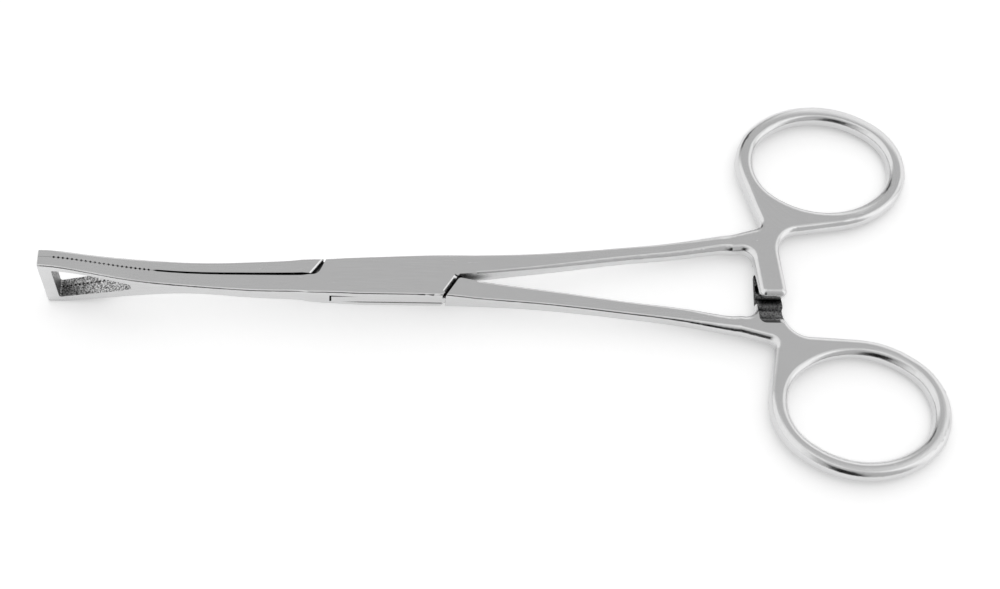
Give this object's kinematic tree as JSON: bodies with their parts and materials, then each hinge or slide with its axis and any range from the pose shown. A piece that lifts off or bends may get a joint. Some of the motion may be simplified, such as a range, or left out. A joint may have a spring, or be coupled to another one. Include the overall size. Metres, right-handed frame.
{
  "type": "piercing forceps",
  "caption": "Ring-handled steel forceps with open triangular jaws, serrated gripping faces, a box lock pivot and a ratchet between the handles.",
  "frame": {"origin": "on the pivot axis, at the flat underside of the box lock", "axes": "+X from the pivot towards the finger rings, so the jaw tips point to -X; +Y towards the handle that carries the upper ratchet arm; +Z along the pivot pin, up through the lock"},
  "size_m": [0.1615, 0.0773, 0.0136],
  "materials": {
    "satin_steel": "satin, fine grain along the length",
    "pin_steel": "satin, ground flush"
  },
  "bodies": {
    "box_body": {"box_half": "satin_steel", "pivot_pin": "pin_steel"},
    "tongue_body": {"tongue_half": "satin_steel"}
  },
  "joints": [
    {"name": "lock_hinge", "type": "hinge", "parent": "box_body", "child": "tongue_body", "pos_m": [0, 0, 0.0024], "axis": [0, 0, -1], "range_deg": [0, 45]}
  ]
}
